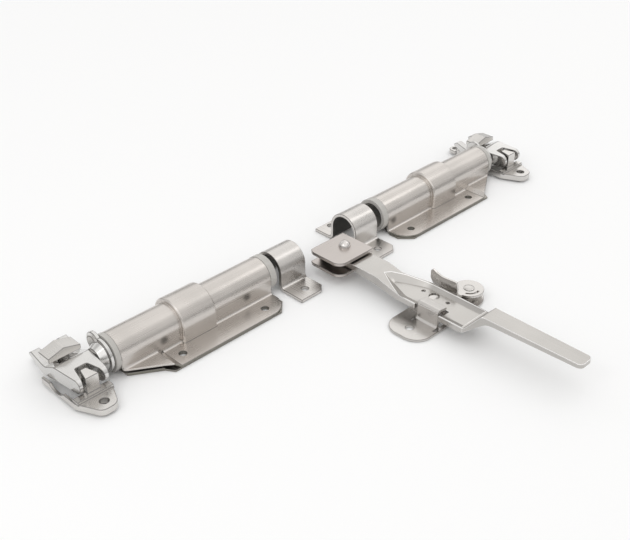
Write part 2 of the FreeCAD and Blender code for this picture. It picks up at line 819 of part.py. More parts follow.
def catch_lever():
    """Turning lever: a disc on the pin, and a wing bent up from it beside the handle."""
    bottom = lever_bottom
    top = bottom + lever_sheet
    body = rod_z(catch_pivot_x, catch_pivot_y, bottom, lever_sheet, lever_radius)
    wing_x = pivot_x + dish_half_width + wing_gap
    arm = plate([
        (wing_x + wing_bend + lever_sheet, wing_start_y, 0),
        (catch_pivot_x, catch_pivot_y - lever_radius + 2, 0),
        (catch_pivot_x + 2, catch_pivot_y + lever_radius - 1, 0),
        (wing_x + wing_bend + lever_sheet, wing_tip_y - 6, 0),
    ], bottom, lever_sheet)
    bend_end = wing_x + wing_bend + lever_sheet + 0.5
    bent = rounded_face([
        (bend_end, bottom, 0),
        (wing_x, bottom, wing_bend + lever_sheet),
        (wing_x, wing_tip + 1, 0),
        (wing_x + lever_sheet, wing_tip + 1, 0),
        (wing_x + lever_sheet, top, wing_bend),
        (bend_end, top, 0),
    ], in_xz(wing_start_y - 5)).extrude(vec(0, wing_tip_y - wing_start_y + 10, 0))
    outline = along_x([
        (wing_start_y, bottom - 1, 0),
        (wing_tip_y - 4, bottom - 1, 0),
        (wing_tip_y - 4, top + 3, 3.0),
        (wing_tip_y + 2.5, top + 12, 6.0),
        (wing_tip_y + 2.5, wing_tip - 3, 1.0),
        (wing_tip_y, wing_tip, 0.5),
        (wing_tip_y - 10, wing_top - 1, 30.0),
        (wing_start_y + 2, wing_top + 1, 2.0),
        (wing_start_y, wing_top - 6, 3.0),
    ], wing_x - 1, bend_end - wing_x + 2)
    body = body.fuse([arm, bent.common(outline)])
    body = body.cut(ring_slot(bottom - 1, lever_sheet + 2))
    return clean(drilled(body, [(catch_pivot_x, catch_pivot_y)], pin_radius + pivot_fit, bottom - 1, lever_sheet + 2))


def ring_slot(bottom, height):
    """Curved slot about the lever's pin."""
    outer = lever_slot_radius + lever_slot_width / 2
    inner = lever_slot_radius - lever_slot_width / 2
    place = vec(catch_pivot_x, catch_pivot_y, bottom)
    slot = Part.makeCylinder(outer, height, place, vec(0, 0, 1), lever_slot_angle)
    slot = slot.cut(Part.makeCylinder(inner, height, place, vec(0, 0, 1), 360))
    slot.rotate(place, vec(0, 0, 1), lever_slot_start)
    return slot


def catch_pin():
    top = lever_bottom + lever_sheet + lever_gap
    seat = lever_bottom - lever_gap
    body = rod_z(catch_pivot_x, catch_pivot_y, seat, top - seat, pin_radius)
    return clean(body.fuse(domed_head(catch_pivot_x, catch_pivot_y, top, pin_head_radius, pin_head_height, 1)))


def save(name, shape):
    shape.exportStep("parts/" + name + ".step")
    print(name, "solids", len(shape.Solids), "volume", round(shape.Volume), "valid", shape.isValid())


os.makedirs("parts", exist_ok=True)

sided = {
    "bracket_cover": bracket_cover(),
    "backing_plate": backing_plate(),
    "bushes": Part.makeCompound([
        bush(cover_end_x, -1, outer_bush_depth, outer_bush_flange),
        bush(cover_start_x, 1, inner_bush_depth, inner_bush_flange),
    ]),
    "cam": cam(),
}
for name, shape in sided.items():
    save("right_" + name, shape)
    save("left_" + name, to_left(shape))

save("left_saddle", saddle(left_saddle_x))
save("right_saddle", saddle(right_saddle_x))
save("left_keeper", keeper(left_keeper_x))
save("right_keeper", keeper(right_keeper_x))
save("hub_top_plate", hub_plate_at(hub_top - hub_plate, handle_top))
save("hub_bottom_plate", hub_plate_at(hub_bottom, handle_bottom - boss_height))
save("hub_web", hub_web_piece())
save("hub_rivet", hub_rivet())
save("handle", handle())
save("catch_base", catch_base())
save("catch_lever", catch_lever())
save("catch_pin", catch_pin())
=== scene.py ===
# %% [markdown]
# # Stainless door gear for one locking bar
# The set lies on a pale studio floor as it does in a catalogue picture: two long bearing
# brackets with a cam and a keeper at each end, two saddle guides, and in the middle the handle
# in its hub with the catch that holds it down. The CAD model is loaded as a fixed frame, and
# this script gives every piece of it eased edges, a real finish and light to stand in.
# The bar runs along X, the handle points to -Y, and the door face is z = 0.

import math

import bmesh
import bpy
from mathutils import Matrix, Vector


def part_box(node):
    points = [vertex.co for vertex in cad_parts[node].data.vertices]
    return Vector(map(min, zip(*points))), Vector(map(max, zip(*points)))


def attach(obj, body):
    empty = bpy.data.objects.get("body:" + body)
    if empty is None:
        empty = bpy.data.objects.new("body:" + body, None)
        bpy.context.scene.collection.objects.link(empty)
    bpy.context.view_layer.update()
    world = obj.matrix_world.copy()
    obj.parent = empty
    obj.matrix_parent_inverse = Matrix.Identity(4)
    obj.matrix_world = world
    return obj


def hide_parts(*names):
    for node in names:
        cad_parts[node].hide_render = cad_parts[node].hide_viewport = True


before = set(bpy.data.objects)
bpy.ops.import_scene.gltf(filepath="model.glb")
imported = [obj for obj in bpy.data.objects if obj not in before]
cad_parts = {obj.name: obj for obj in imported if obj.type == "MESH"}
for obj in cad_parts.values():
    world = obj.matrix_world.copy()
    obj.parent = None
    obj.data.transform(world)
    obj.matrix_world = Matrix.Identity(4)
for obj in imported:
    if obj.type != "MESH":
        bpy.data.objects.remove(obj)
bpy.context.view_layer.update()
print("pieces in the frame:", len(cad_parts))

# %% [markdown]
# All lengths are metres here, so small sizes are written as millimetres times `MM`.

# %% Units and places taken from the frame
MM = 0.001

base_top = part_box("right_backing_plate")[1].z
hub_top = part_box("hub_top_plate")[1].z
hub_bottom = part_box("hub_bottom_plate")[0].z
saddle_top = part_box("right_saddle")[1].z
rivet_low, rivet_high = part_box("hub_rivet")
pin_low, pin_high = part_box("catch_pin")
lever_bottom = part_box("catch_lever")[0].z
bar_height = (hub_top + hub_bottom) / 2
print("bar axis above the door, in mm:", round(bar_height / MM, 2))

# %% [markdown]
# ## The camera
# The picture looks down on the set at about 32 degrees, from the side of the left keeper and of
# the handle. A camera can be turned by hand, by a constraint or by pointing it at a spot.
# Pointing is the plainest: the line from the camera to the target gives the whole rotation,
# because the horizon is level.

# %% Camera at the picture's viewing angle
VIEW_TARGET = Vector((-0.02748, -0.01852, 0.002))
VIEW_AZIMUTH = math.radians(45.07)
VIEW_ELEVATION = math.radians(32.47)
VIEW_DISTANCE = 1.25134
LENS = 58.80
SENSOR = 36.0
NEAREST_SEEN = 0.05
FURTHEST_SEEN = 50.0

away = Vector((
    -math.sin(VIEW_AZIMUTH) * math.cos(VIEW_ELEVATION),
    -math.cos(VIEW_AZIMUTH) * math.cos(VIEW_ELEVATION),
    math.sin(VIEW_ELEVATION),
))
camera = bpy.data.objects.new("picture_camera", bpy.data.cameras.new("picture_camera"))
camera.data.lens = LENS
camera.data.sensor_width = SENSOR
camera.data.sensor_fit = "HORIZONTAL"
camera.data.clip_start = NEAREST_SEEN
camera.data.clip_end = FURTHEST_SEEN
camera.location = VIEW_TARGET + away * VIEW_DISTANCE
camera.rotation_euler = (-away).to_track_quat("-Z", "Y").to_euler()
bpy.context.scene.collection.objects.link(camera)
bpy.context.scene.camera = camera
print("camera at", [round(value, 4) for value in camera.location])

# %% [markdown]
# ## The studio
# Bare metal shows little colour of its own: what we see on it is the room. A flat white room
# makes it look like paper, so the sky here is a plain white dome that gets darker low down, with
# a few broad soft lights and dull panels in it. They are painted into the world by direction,
# because a world light has no noise and no hard edge. The floor is a wide pale sheet.
#
# The node trees of the sky, the finishes and the rivets are all built by the small helpers
# below, so that each tree reads as a list of what it does.

# %% Helpers for node trees
def add_node(tree, kind, label="", **settings):
    """A new node with its plain settings, and a label for the reader of the tree."""
    node = tree.nodes.new(kind)
    node.label = label
    for name, value in settings.items():
        setattr(node, name, value)
    return node


def remapped(tree, value, old_range, new_range, label, soft=False):
    """Carry a value from one range to another, with eased ends if it is to be soft."""
    kind = "SMOOTHSTEP" if soft else "LINEAR"
    ramp = add_node(tree, "ShaderNodeMapRange", label, interpolation_type=kind)
    ramp.inputs["From Min"].default_value = old_range[0]
    ramp.inputs["From Max"].default_value = old_range[1]
    ramp.inputs["To Min"].default_value = new_range[0]
    ramp.inputs["To Max"].default_value = new_range[1]
    tree.links.new(value, ramp.inputs["Value"])
    return ramp.outputs["Result"]


def noise(tree, place, fineness, detail, label, unevenness=0.5):
    """Cloudy pattern on a place. A larger fineness makes smaller clouds."""
    pattern = add_node(tree, "ShaderNodeTexNoise", label)
    pattern.inputs["Scale"].default_value = fineness
    pattern.inputs["Detail"].default_value = detail
    pattern.inputs["Roughness"].default_value = unevenness
    tree.links.new(place, pattern.inputs["Vector"])
    return pattern.outputs["Fac"]


def bump(tree, height, strength, depth, label, under=None):
    """Small relief from a height, laid over another relief if one is given."""
    relief = add_node(tree, "ShaderNodeBump", label)
    relief.inputs["Strength"].default_value = strength
    relief.inputs["Distance"].default_value = depth
    tree.links.new(height, relief.inputs["Height"])
    if under is not None:
        tree.links.new(under, relief.inputs["Normal"])
    return relief.outputs["Normal"]


def lamp_by_direction(tree, direction_socket, towards, inner, outer, strength):
    """Soft round light in the sky: full inside the inner angle, none past the outer one."""
    dot = add_node(tree, "ShaderNodeVectorMath", "how near to the lamp", operation="DOT_PRODUCT")
    tree.links.new(direction_socket, dot.inputs[0])
    dot.inputs[1].default_value = Vector(towards).normalized()
    edge = (math.cos(math.radians(outer)), math.cos(math.radians(inner)))
    return remapped(tree, dot.outputs["Value"], edge, (0.0, strength), "soft edge", soft=True)


def added(tree, first, second):
    """Sum of two values."""
    total = add_node(tree, "ShaderNodeMath", "sum of lights", operation="ADD")
    tree.links.new(first, total.inputs[0])
    tree.links.new(second, total.inputs[1])
    return total.outputs[0]


# %% [markdown]
# The dome is dark at the horizon and white from a third of the way up. The low part is what the
# upright faces mirror, so it gives them their grey. The lamps and panels below lie where the
# flat tops, the arches and the slopes of the dish mirror the sky towards the camera.

# %% Sky of the studio
SKY_LOW = 0.34
SKY_HIGH = 1.09
SKY_TINT = (1.0, 0.995, 0.985, 1.0)
WHITE_FROM = 0.50
SOFT_LAMPS = [
    # direction, full inside this angle, gone outside this one, strength
    ((-0.70, -0.60, 0.60), 6, 26, 0.15),
    ((0.72, 0.52, 0.46), 4, 18, 0.22),
]
DARK_PANELS = [
    ((0.35, -0.80, 0.45), 4, 18, -0.22),
    ((0.58, -0.55, 0.60), 6, 20, -0.30),
    ((-0.50, 0.60, 0.58), 6, 24, -0.34),
    ((0.15, 0.55, 0.82), 4, 20, -0.25),
    ((-0.17, 0.60, 0.78), 8, 22, -0.20),
]

world = bpy.data.worlds.new("studio_sky")
world.use_nodes = True
bpy.context.scene.world = world
sky = world.node_tree
sky.nodes.clear()
direction = add_node(sky, "ShaderNodeTexCoord", "direction of each ray").outputs["Generated"]
height = add_node(sky, "ShaderNodeSeparateXYZ", "height above the horizon")
sky.links.new(direction, height.inputs[0])
light = remapped(sky, height.outputs["Z"], (0.0, WHITE_FROM), (SKY_LOW, SKY_HIGH),
                 "lighter towards the top", soft=True)
for towards, inner, outer, strength in SOFT_LAMPS + DARK_PANELS:
    light = added(sky, light, lamp_by_direction(sky, direction, towards, inner, outer, strength))
background = add_node(sky, "ShaderNodeBackground", "white studio light")
background.inputs["Color"].default_value = SKY_TINT
sky.links.new(light, background.inputs["Strength"])
world_out = add_node(sky, "ShaderNodeOutputWorld")
sky.links.new(background.outputs[0], world_out.inputs["Surface"])
bpy.context.scene.view_settings.view_transform = "Standard"
print("sky with", len(SOFT_LAMPS), "soft lamps and", len(DARK_PANELS), "dark panels")

# %% [markdown]
# A sky alone gives no crisp highlight on a thin rounded edge. Two round lamps, one on each side,
# are small enough to draw a bright line along it and weak enough to leave no hard shadow.

# %% Two soft lamps for the highlights on the edges
EDGE_LAMPS = [
    # name, place, width and power
    ("edge_lamp_left", (-1.5, -0.2, 1.3), 0.5, 1.6),
    ("edge_lamp_right", (1.3, -0.5, 1.6), 0.6, 0.9),
]


def area_lamp(name, place, size, power):
    """Round lamp that points at the set."""
    data = bpy.data.lights.new(name, "AREA")
    data.shape = "DISK"
    data.size = size
    data.energy = power
    lamp = bpy.data.objects.new(name, data)
    lamp.location = Vector(place)
    lamp.rotation_euler = (VIEW_TARGET - lamp.location).to_track_quat("-Z", "Y").to_euler()
    bpy.context.scene.collection.objects.link(lamp)


for lamp_settings in EDGE_LAMPS:
    area_lamp(*lamp_settings)
print("lamps for the edges:", len(EDGE_LAMPS))

# %% [markdown]
# The floor lies a hair below the door face, so that it never cuts into the flat undersides. It
# is wide enough for the horizon to stay far behind the set from every side.

# %% Floor
FLOOR_SIZE = 30.0
FLOOR_DROP = 0.4 * MM
FLOOR_COLOUR = (0.95, 0.953, 0.958, 1.0)
FLOOR_ROUGHNESS = 0.9
FLOOR_SHINE = 0.1

floor_material = bpy.data.materials.new("pale_floor")
floor_material.use_nodes = True
floor_shader = floor_material.node_tree.nodes["Principled BSDF"]
floor_shader.inputs["Base Color"].default_value = FLOOR_COLOUR
floor_shader.inputs["Roughness"].default_value = FLOOR_ROUGHNESS
floor_shader.inputs["Specular IOR Level"].default_value = FLOOR_SHINE

floor_mesh = bpy.data.meshes.new("floor")
half = FLOOR_SIZE / 2
floor_corners = [(x, y, -FLOOR_DROP) for x, y in ((-half, -half), (half, -half), (half, half), (-half, half))]
floor_mesh.from_pydata(floor_corners, [], [(0, 1, 2, 3)])
floor_mesh.materials.append(floor_material)
floor = bpy.data.objects.new("floor", floor_mesh)
bpy.context.scene.collection.objects.link(floor)
print("floor", FLOOR_SIZE, "m wide")

# %% [markdown]
# ## Stainless finishes
# The sheet parts are satin: the rolling and a light brushing leave fine lines along the part,
# which spread the reflections sideways. The castings are tumbled, so they are smoother but
# slightly wavy. Each finish is one material made by the same function. Stretched noise gives
# the brushed lines, wide noise gives the slight change of tint and gloss over a part, and a
# very small bump keeps the reflections from being perfect. Everything reads Object
# coordinates, so it stays in place on every piece.
#
# Where a bracket's polished side wall mirrors a hole of its foot, a dark round spot is painted on
# the wall: a painted reflection. Each spot is found by the distance from its middle, and it fades out softly.

# %% Painted reflection of a hole on a bracket's wall
# A painted dark reflection: full out to the first distance, gone at the second, and how dark it makes the
# steel
REFLECTION_SPOT_CLEAR = 1.2 * MM
REFLECTION_SPOT_EDGE = 7.5 * MM
PAINTED_REFLECTION_SHADE = (0.52, 0.52, 0.52, 1.0)


def painted_reflection_spot(tree, place, spot, colour_socket):
    """Darken a colour round one place, full in the middle and gone at the edge: a painted reflection."""
    away_from = add_node(tree, "ShaderNodeVectorMath", "distance from the spot", operation="DISTANCE")
    away_from.inputs[1].default_value = spot
    tree.links.new(place, away_from.inputs[0])
    fade = remapped(tree, away_from.outputs["Value"], (REFLECTION_SPOT_CLEAR, REFLECTION_SPOT_EDGE), (1.0, 0.0),
                    "soft spot", soft=True)
    darker = add_node(tree, "ShaderNodeMix", "painted dark reflection", data_type="RGBA", blend_type="MULTIPLY")
    darker.inputs["B"].default_value = PAINTED_REFLECTION_SHADE
    tree.links.new(fade, darker.inputs["Factor"])
    tree.links.new(colour_socket, darker.inputs["A"])
    return darker.outputs["Result"]


# %% [markdown]
# The brushed lines are a noise that is squeezed across the brushing and long along it. The
# patches and the lines are mixed once, and both the tint and the gloss follow that mix, so a
# paler streak is also a duller one, as on brushed sheet.

# %% Function for a stainless finish
LINES_ACROSS = 900.0
LINES_ALONG = 14.0
LINE_DETAIL = 3.0
LINE_UNEVENNESS = 0.6
LINE_SHARE = 0.45
LINE_DEPTH = 0.02 * MM
LINE_STRENGTH = 0.14
LEAST_LINES = 0.02
PATCH_FINENESS = 22.0
PATCH_DEPTH = 0.6 * MM
GRAIN_FINENESS = 1500.0
GRAIN_STRENGTH = 0.05
GRAIN_DEPTH = 0.02 * MM
SOFT_DETAIL = 2.0
TINT_RANGE = (0.3, 0.7)
GLOSS_RANGE = (0.25, 0.75)
GLOSS_SPREAD = (0.82, 1.22)


def brushed_lines(tree, place, brush_axis):
    """Fine lines along one axis of the piece."""
    stretch = add_node(tree, "ShaderNodeMapping", "long along the brushing")
    scale = [LINES_ACROSS] * 3
    scale[brush_axis] = LINES_ALONG
    stretch.inputs["Scale"].default_value = scale
    tree.links.new(place, stretch.inputs["Vector"])
    return noise(tree, stretch.outputs[0], 1.0, LINE_DETAIL, "brushed lines", LINE_UNEVENNESS)


def two_tints(tree, share, colour, tint):
    """Colour that changes a little from place to place."""
    shade = add_node(tree, "ShaderNodeMix", "two tints of the metal", data_type="RGBA")
    darker = tuple(max(0.0, value * (1.0 - 2.0 * tint)) for value in colour)
    lighter = tuple(min(1.0, value * (1.0 + tint)) for value in colour)
    shade.inputs["A"].default_value = (*darker, 1.0)
    shade.inputs["B"].default_value = (*lighter, 1.0)
    tree.links.new(share, shade.inputs["Factor"])
    return shade.outputs["Result"]


def stainless(name, colour, roughness, brush_axis, brush, wave, tint=0.05, reflection_spots=()):
    """Metal with brushed lines along one axis (0, 1 or 2). Reflection spots are places of painted dark
    reflections on it.
    """
    material = bpy.data.materials.new(name)
    material.use_nodes = True
    tree = material.node_tree
    shader = tree.nodes["Principled BSDF"]
    shader.inputs["Metallic"].default_value = 1.0
    place = add_node(tree, "ShaderNodeTexCoord", "place on the piece").outputs["Object"]

    lines = brushed_lines(tree, place, brush_axis)
    patches = noise(tree, place, PATCH_FINENESS, SOFT_DETAIL, "wide change over the part")
    grain = noise(tree, place, GRAIN_FINENESS, SOFT_DETAIL, "fine grain of the surface")
    mixed = add_node(tree, "ShaderNodeMix", "patches with some lines", data_type="FLOAT")
    mixed.inputs["Factor"].default_value = LINE_SHARE * brush
    tree.links.new(patches, mixed.inputs["A"])
    tree.links.new(lines, mixed.inputs["B"])
    pattern = mixed.outputs["Result"]

    share = remapped(tree, pattern, TINT_RANGE, (0.0, 1.0), "where the tint changes")
    colour_socket = two_tints(tree, share, colour, tint)
    # Each spot paints a dark reflection of a hole into the colour
    for spot in reflection_spots:
        colour_socket = painted_reflection_spot(tree, place, spot, colour_socket)
    tree.links.new(colour_socket, shader.inputs["Base Color"])

    roughness_range = (roughness * GLOSS_SPREAD[0], roughness * GLOSS_SPREAD[1])
    gloss = remapped(tree, pattern, GLOSS_RANGE, roughness_range, "gloss that follows the lines")
    tree.links.new(gloss, shader.inputs["Roughness"])

    uneven = bump(tree, patches, wave, PATCH_DEPTH, "slight waviness")
    line_strength = LINE_STRENGTH * brush + LEAST_LINES
    brushed = bump(tree, lines, line_strength, LINE_DEPTH, "depth of the lines", uneven)
    fine = bump(tree, grain, GRAIN_STRENGTH, GRAIN_DEPTH, "fine grain", brushed)
    tree.links.new(fine, shader.inputs["Normal"])
    return material


# %% [markdown]
# The colours are linear values, set by comparing renders with the picture. Brush axis 0 runs
# along the bar and 1 along the handle. Of the last four, three paint light and shade on the rounded edges: a
# dark outline on the sheets and castings and a bright highlight on the handle. The last is for polished
# heads.

# %% The finishes of this set
WALL_Y = -21.5 * MM
# Places on the bracket walls where reflections of the foot's holes are painted as dark spots
PAINTED_REFLECTION_SPOTS = [(-0.1401, WALL_Y, 0.0174), (-0.2590, WALL_Y, 0.0185), (0.1133, WALL_Y, 0.0164)]
pressed_sheet = stainless("pressed_sheet", (0.635, 0.600, 0.568), 0.27, brush_axis=0, brush=0.8,
                          wave=0.03, reflection_spots=PAINTED_REFLECTION_SPOTS)
saddle_sheet = stainless("saddle_sheet", (0.66, 0.635, 0.61), 0.28, brush_axis=1, brush=1.0,
                         wave=0.04, tint=0.10)
base_sheet = stainless("base_sheet", (0.48, 0.455, 0.42), 0.32, brush_axis=0, brush=0.8, wave=0.04)
sheared_edge = stainless("sheared_edge", (0.27, 0.26, 0.225), 0.45, brush_axis=0, brush=0.6,
                         wave=0.10, tint=0.12)
# Painted shade: nearly black, for the inside of the saddles under their arches, with a rough gloss
painted_shade_inside = stainless("painted_shade_inside", (0.13, 0.128, 0.12), 0.55, brush_axis=0, brush=0.5,
                       wave=0.10, tint=0.15)
cast_steel = stainless("cast_steel", (0.70, 0.68, 0.655), 0.25, brush_axis=1, brush=0.3, wave=0.05)
polished_cam = stainless("polished_cam", (0.70, 0.69, 0.675), 0.20, brush_axis=1, brush=0.15, wave=0.04)
hub_sheet = stainless("hub_sheet", (0.535, 0.495, 0.47), 0.30, brush_axis=0, brush=0.6, wave=0.03)
forged_handle = stainless("forged_handle", (0.525, 0.507, 0.485), 0.22, brush_axis=1, brush=0.5, wave=0.03)
catch_sheet = stainless("catch_sheet", (0.66, 0.638, 0.615), 0.25, brush_axis=0, brush=0.25, wave=0.03)
# Painted light on the rounded edges: dark outlines for the sheets and castings, a bright highlight for the
# handle
painted_dark_edge = stainless("painted_dark_edge", (0.27, 0.255, 0.24), 0.28, brush_axis=0, brush=0.3, wave=0.05)
painted_dark_cast_edge = stainless("painted_dark_cast_edge", (0.32, 0.31, 0.30), 0.24, brush_axis=0, brush=0.2, wave=0.05)
painted_highlight_edge = stainless("painted_highlight_edge", (0.86, 0.85, 0.84), 0.14, brush_axis=1, brush=0.1, wave=0.02)
polished_head = stainless("polished_head", (0.70, 0.67, 0.65), 0.12, brush_axis=2, brush=0.1, wave=0.02)
print("metal finishes made")

# %% [markdown]
# ## The plastic of the bushes
# The bushes at the bracket ends are light grey nylon. It is not metal: it scatters light under
# its surface and has only a soft shine, with the faint mottling of moulded plastic.

# %% Bush plastic
PLASTIC_DARK = (0.46, 0.445, 0.42, 1.0)
PLASTIC_LIGHT = (0.53, 0.515, 0.49, 1.0)
PLASTIC_GLOSS = (0.15, 0.24)
PLASTIC_SCATTER = 0.08
SCATTER_REACH = 2.0 * MM
MOTTLE_FINENESS = 160.0
MOTTLE_DETAIL = 4.0
SKIN_STRENGTH = 0.2
SKIN_DEPTH = 0.05 * MM

bush_plastic = bpy.data.materials.new("bush_plastic")
bush_plastic.use_nodes = True
plastic = bush_plastic.node_tree
plastic_shader = plastic.nodes["Principled BSDF"]
plastic_shader.inputs["Subsurface Weight"].default_value = PLASTIC_SCATTER
plastic_shader.inputs["Subsurface Radius"].default_value = (SCATTER_REACH, SCATTER_REACH, SCATTER_REACH)
plastic_place = add_node(plastic, "ShaderNodeTexCoord", "place on the bush").outputs["Object"]
mottle = noise(plastic, plastic_place, MOTTLE_FINENESS, MOTTLE_DETAIL, "moulded mottling")
plastic_tint = add_node(plastic, "ShaderNodeMix", "two greys", data_type="RGBA")
plastic_tint.inputs["A"].default_value = PLASTIC_DARK
plastic_tint.inputs["B"].default_value = PLASTIC_LIGHT
plastic.links.new(mottle, plastic_tint.inputs["Factor"])
plastic.links.new(plastic_tint.outputs["Result"], plastic_shader.inputs["Base Color"])
plastic_gloss = remapped(plastic, mottle, (0.0, 1.0), PLASTIC_GLOSS, "soft shine")
plastic.links.new(plastic_gloss, plastic_shader.inputs["Roughness"])
plastic_skin = bump(plastic, mottle, SKIN_STRENGTH, SKIN_DEPTH, "skin of the moulding")
plastic.links.new(plastic_skin, plastic_shader.inputs["Normal"])
print("plastic made")

# %% [markdown]
# ## Eased edges on the pressed, cast and forged pieces
# No real steel edge is perfectly sharp: a thin rounding catches a lamp or mirrors the dark part
# of the sky, and it is what draws the fine line along every plate in the picture. The CAD
# solids have sharp edges, so each piece is a copy of its solid with the loose points merged,
# flat areas joined where that is safe, a narrow bevel on the edges, and normals that keep the
# flat faces flat. The bevel takes the last material of the piece, whose colour paints that line
# too: a painted dark outline on the sheets and castings, a painted highlight on the handle. A bevel
# in the shader would be quicker, but it would be lost in an exported mesh.
#
# The bevel isn't held back by short edges, since the arcs of the CAD mesh have many of them.
# Slivers are cleared away first instead, and the bevel's corners don't slide along other edges.

# %% Functions that copy a solid and ease its edges
MERGE_DISTANCE = 0.003 * MM
SLIVER = 0.08 * MM
EDGE_STEPS = 2
EDGE_ANGLE = math.radians(18.0)


def finished(piece, body, nodes):
    """Say what carries the piece and which solids it stands for, and hide those solids."""
    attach(piece, body)
    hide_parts(*nodes)
    return piece


def linked(name, mesh):
    """New object for a mesh, in the scene and at the origin."""
    piece = bpy.data.objects.new(name, mesh)
    bpy.context.scene.collection.objects.link(piece)
    return piece


def settled(piece):
    """Turn a piece's modifiers into a plain mesh, and take them off."""
    depsgraph = bpy.context.evaluated_depsgraph_get()
    done = bpy.data.meshes.new_from_object(piece.evaluated_get(depsgraph))
    piece.modifiers.clear()
    piece.data = done
    done.name = piece.name
    return piece


def cut_off(work, point, direction):
    """Keep the side of a plane that its direction points to, and close the cut."""
    everything = work.verts[:] + work.edges[:] + work.faces[:]
    cut = bmesh.ops.bisect_plane(work, geom=everything, plane_co=point, plane_no=direction, clear_inner=True)
    rim = [part for part in cut["geom_cut"] if isinstance(part, bmesh.types.BMEdge)]
    bmesh.ops.holes_fill(work, edges=rim)
    bmesh.ops.recalc_face_normals(work, faces=work.faces)


def inside_box(edge, sharp_box):
    """Whether both ends of an edge lie in a box (x from, x to, y from, y to) seen from above."""
    left, right, front, back = sharp_box
    return all(left < vert.co.x < right and front < vert.co.y < back for vert in edge.verts)


def mark_edges(work, sharp_box):
    """Give a bevel to the edges that turn sharply.

    With a box, the edges inside it and all inner corners of the piece stay sharp.
    """
    weight = work.edges.layers.float.new("bevel_weight_edge")
    for edge in work.edges:
        if edge.calc_face_angle(0.0) < EDGE_ANGLE:
            continue
        sharp = sharp_box is not None and (not edge.is_convex or inside_box(edge, sharp_box))
        edge[weight] = 0.0 if sharp else 1.0
        edge.smooth = not sharp


def merged_copy(node, flat_angle, cuts, sharp_box):
    """Mesh of a CAD solid with its loose points merged, and its edges marked for the bevel."""
    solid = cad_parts[node].data
    mesh = bpy.data.meshes.new(node + "_eased")
    mesh.from_pydata([v.co[:] for v in solid.vertices], [], [p.vertices[:] for p in solid.polygons])
    work = bmesh.new()
    work.from_mesh(mesh)
    bmesh.ops.remove_doubles(work, verts=work.verts, dist=MERGE_DISTANCE)
    if flat_angle > 0.0:
        joined = math.radians(flat_angle)
        bmesh.ops.dissolve_limit(work, angle_limit=joined, verts=work.verts, edges=work.edges)
    bmesh.ops.dissolve_degenerate(work, dist=SLIVER, edges=work.edges)
    for face in work.faces:
        face.smooth = True
    for point, direction in cuts:
        cut_off(work, point, direction)
    mark_edges(work, sharp_box)
    work.to_mesh(mesh)
    work.free()
    return mesh


def eased_piece(node, edge_radius, materials, flat_angle, cuts=(), sharp_box=None):
    """Copy of a CAD solid with rounded edges, as a plain mesh at the origin. Planes may cut it off.

    The last material goes on the rounded edges alone, and paints their outline or highlight.
    """
    mesh = merged_copy(node, flat_angle, cuts, sharp_box)
    for material in materials:
        mesh.materials.append(material)
    piece = linked(node + "_eased", mesh)
    bevel = piece.modifiers.new("eased edges", "BEVEL")
    bevel.width = edge_radius
    bevel.segments = EDGE_STEPS
    bevel.limit_method = "WEIGHT"
    bevel.use_clamp_overlap = False
    bevel.loop_slide = False
    bevel.material = len(materials) - 1
    bevel.face_strength_mode = "FSTR_AFFECTED"
    flat = piece.modifiers.new("flat faces stay flat", "WEIGHTED_NORMAL")
    flat.keep_sharp = True
    flat.use_face_influence = True
    return settled(piece)


# %% [markdown]
# Each row of the table is one piece of the set. Joining the flat areas gives the bevel clean
# faces to work on. On the bracket covers, the handle and the lever it would fill a few faces
# wrongly, so those keep all or nearly all of their triangles.

# %% Eased copies of the pieces
JOIN_FLAT = 0.4
JOIN_SLIGHTLY = 0.05
KEEP_ALL = 0.0
BRACKET_FINISH = [pressed_sheet, sheared_edge, painted_dark_edge]
BASE_FINISH = [base_sheet, sheared_edge, painted_dark_edge]
SADDLE_FINISH = [saddle_sheet, painted_shade_inside, painted_dark_edge]
KEEPER_FINISH = [cast_steel, painted_dark_cast_edge]
CAM_FINISH = [polished_cam, painted_dark_cast_edge]
HUB_FINISH = [hub_sheet, painted_dark_edge]
HANDLE_FINISH = [forged_handle, painted_highlight_edge]
CATCH_FINISH = [catch_sheet, painted_dark_edge]
EASED = [
    # node, body, slot, edge radius in mm, finishes, degrees within which faces are joined
    ("right_bracket_cover", "frame_set", "pressed_steel", 0.55, BRACKET_FINISH, KEEP_ALL),
    ("left_bracket_cover", "frame_set", "pressed_steel", 0.55, BRACKET_FINISH, KEEP_ALL),
    ("right_backing_plate", "frame_set", "backing_steel", 0.40, BASE_FINISH, JOIN_FLAT),
    ("left_backing_plate", "frame_set", "backing_steel", 0.40, BASE_FINISH, JOIN_FLAT),
    ("right_bushes", "frame_set", "bush_plastic", 0.50, [bush_plastic], JOIN_FLAT),
    ("left_bushes", "frame_set", "bush_plastic", 0.50, [bush_plastic], JOIN_FLAT),
    ("right_saddle", "frame_set", "pressed_steel", 0.60, SADDLE_FINISH, JOIN_FLAT),
    ("left_saddle", "frame_set", "pressed_steel", 0.60, SADDLE_FINISH, JOIN_FLAT),
    ("right_keeper", "frame_set", "keeper_steel", 0.70, KEEPER_FINISH, JOIN_FLAT),
    ("left_keeper", "frame_set", "keeper_steel", 0.70, KEEPER_FINISH, JOIN_FLAT),
    ("right_cam", "right_cam_bar", "cam_steel", 0.70, CAM_FINISH, JOIN_FLAT),
    ("left_cam", "left_cam_bar", "cam_steel", 0.70, CAM_FINISH, JOIN_FLAT),
    ("hub_top_plate", "hub", "hub_steel", 0.60, HUB_FINISH, JOIN_FLAT),
    ("hub_bottom_plate", "hub", "hub_steel", 0.60, HUB_FINISH, JOIN_FLAT),
    ("handle", "handle", "handle_steel", 0.60, HANDLE_FINISH, KEEP_ALL),
    ("catch_base", "frame_set", "catch_steel", 0.50, CATCH_FINISH, JOIN_FLAT),
    ("catch_lever", "catch", "lever_steel", 0.30, CATCH_FINISH, JOIN_SLIGHTLY),
]

